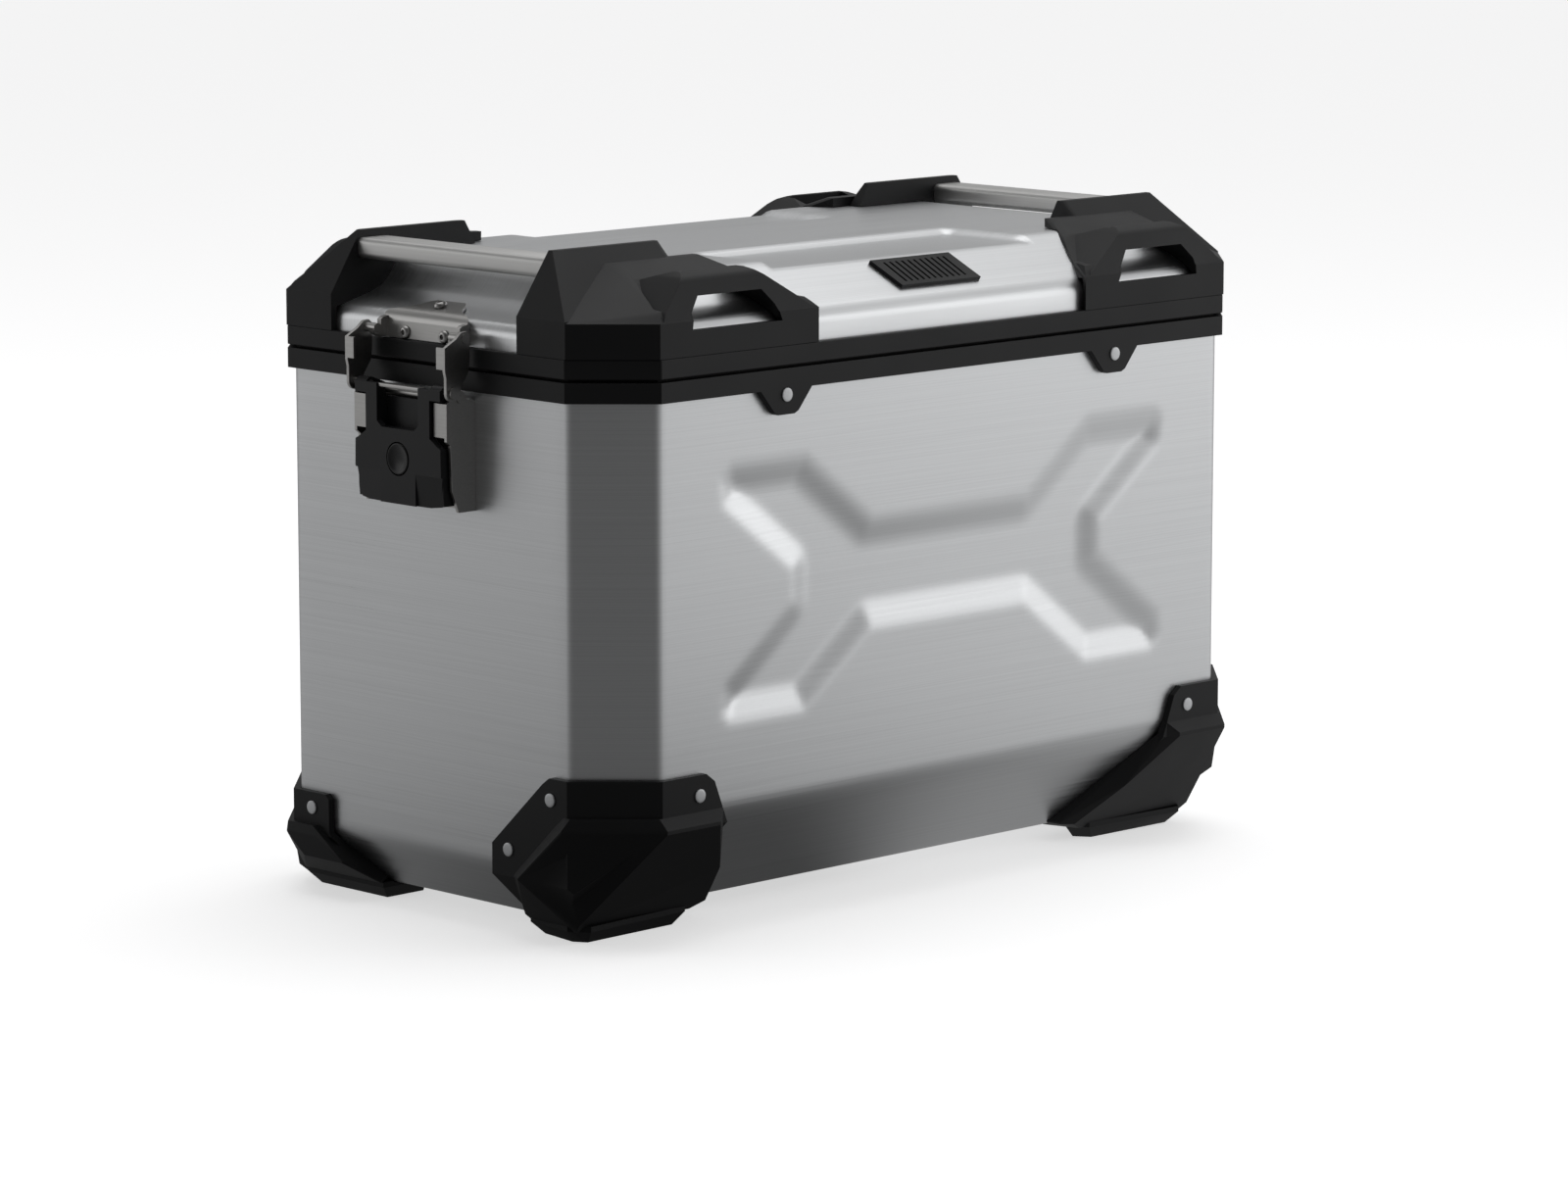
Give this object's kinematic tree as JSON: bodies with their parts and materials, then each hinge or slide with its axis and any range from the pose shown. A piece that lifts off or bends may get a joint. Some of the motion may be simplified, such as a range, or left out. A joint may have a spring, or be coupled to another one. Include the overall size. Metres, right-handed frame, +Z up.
{
  "type": "motorcycle luggage case",
  "caption": "Hard aluminium motorcycle case with a hinging lid, over-centre end latches, handle bars, lashing eyes and black plastic corner guards with feet.",
  "frame": {"origin": "on the ground under the middle of the case", "axes": "+X along the length towards the hinged end, -Y out of the face with the pressed X panel, +Z up"},
  "size_m": [0.547, 0.301, 0.365],
  "materials": {
    "aluminium": "brushed",
    "black_plastic": "textured",
    "rivets": "satin",
    "stainless": "satin",
    "seal_rubber": "matte",
    "handle_aluminium": "anodised",
    "lever_plastic": "satin",
    "cap_plastic": "satin"
  },
  "bodies": {
    "tub": {"body_shell": "aluminium", "body_rim": "black_plastic", "rim_rivets": "rivets", "guard_fl": "black_plastic", "guard_fr": "black_plastic", "guard_rl": "black_plastic", "guard_rr": "black_plastic", "guard_rivets": "rivets", "latch_base_l": "stainless", "latch_base_r": "stainless", "base_rivets": "stainless", "lever_pin_l": "stainless", "lever_pin_r": "stainless"},
    "lid": {"lid_shell": "aluminium", "lid_rim": "black_plastic", "lid_seal": "seal_rubber", "badge": "black_plastic", "pad_fl": "black_plastic", "pad_fr": "black_plastic", "pad_rl": "black_plastic", "pad_rr": "black_plastic", "pad_screws": "stainless", "handle_l": "handle_aluminium", "handle_r": "handle_aluminium", "catch_l": "stainless", "catch_r": "stainless", "catch_screws": "stainless"},
    "lever_left": {"lever_l": "lever_plastic", "lever_strap_l": "stainless", "lock_cap_l": "cap_plastic", "arm_pins_l": "stainless"},
    "lever_right": {"lever_r": "lever_plastic", "lever_strap_r": "stainless", "lock_cap_r": "cap_plastic", "arm_pins_r": "stainless"},
    "yoke_left": {"arm_fl": "stainless", "arm_rl": "stainless", "hook_pin_l": "stainless"},
    "yoke_right": {"arm_fr": "stainless", "arm_rr": "stainless", "hook_pin_r": "stainless"}
  },
  "joints": [
    {"name": "lid_hinge", "type": "hinge", "parent": "tub", "child": "lid", "pos_m": [0.2595, 0, 0.318], "axis": [0, 1, 0], "range_deg": [0, 80]},
    {"name": "lever_left", "type": "hinge", "parent": "tub", "child": "lever_left", "pos_m": [-0.261, 0, 0.286], "axis": [0, 1, 0], "range_deg": [0, 70]},
    {"name": "lever_right", "type": "hinge", "parent": "tub", "child": "lever_right", "pos_m": [0.261, 0, 0.286], "axis": [0, -1, 0], "range_deg": [0, 70]},
    {"name": "yoke_left", "type": "hinge", "parent": "lever_left", "child": "yoke_left", "pos_m": [-0.268, 0, 0.29], "axis": [0, 1, 0], "range_deg": [-106, 0]},
    {"name": "yoke_right", "type": "hinge", "parent": "lever_right", "child": "yoke_right", "pos_m": [0.268, 0, 0.29], "axis": [0, -1, 0], "range_deg": [-106, 0]}
  ],
  "couplings": [
    {"joint": "yoke_left", "follows": "lever_left", "ratio": -1.5},
    {"joint": "yoke_right", "follows": "lever_right", "ratio": -1.5}
  ]
}
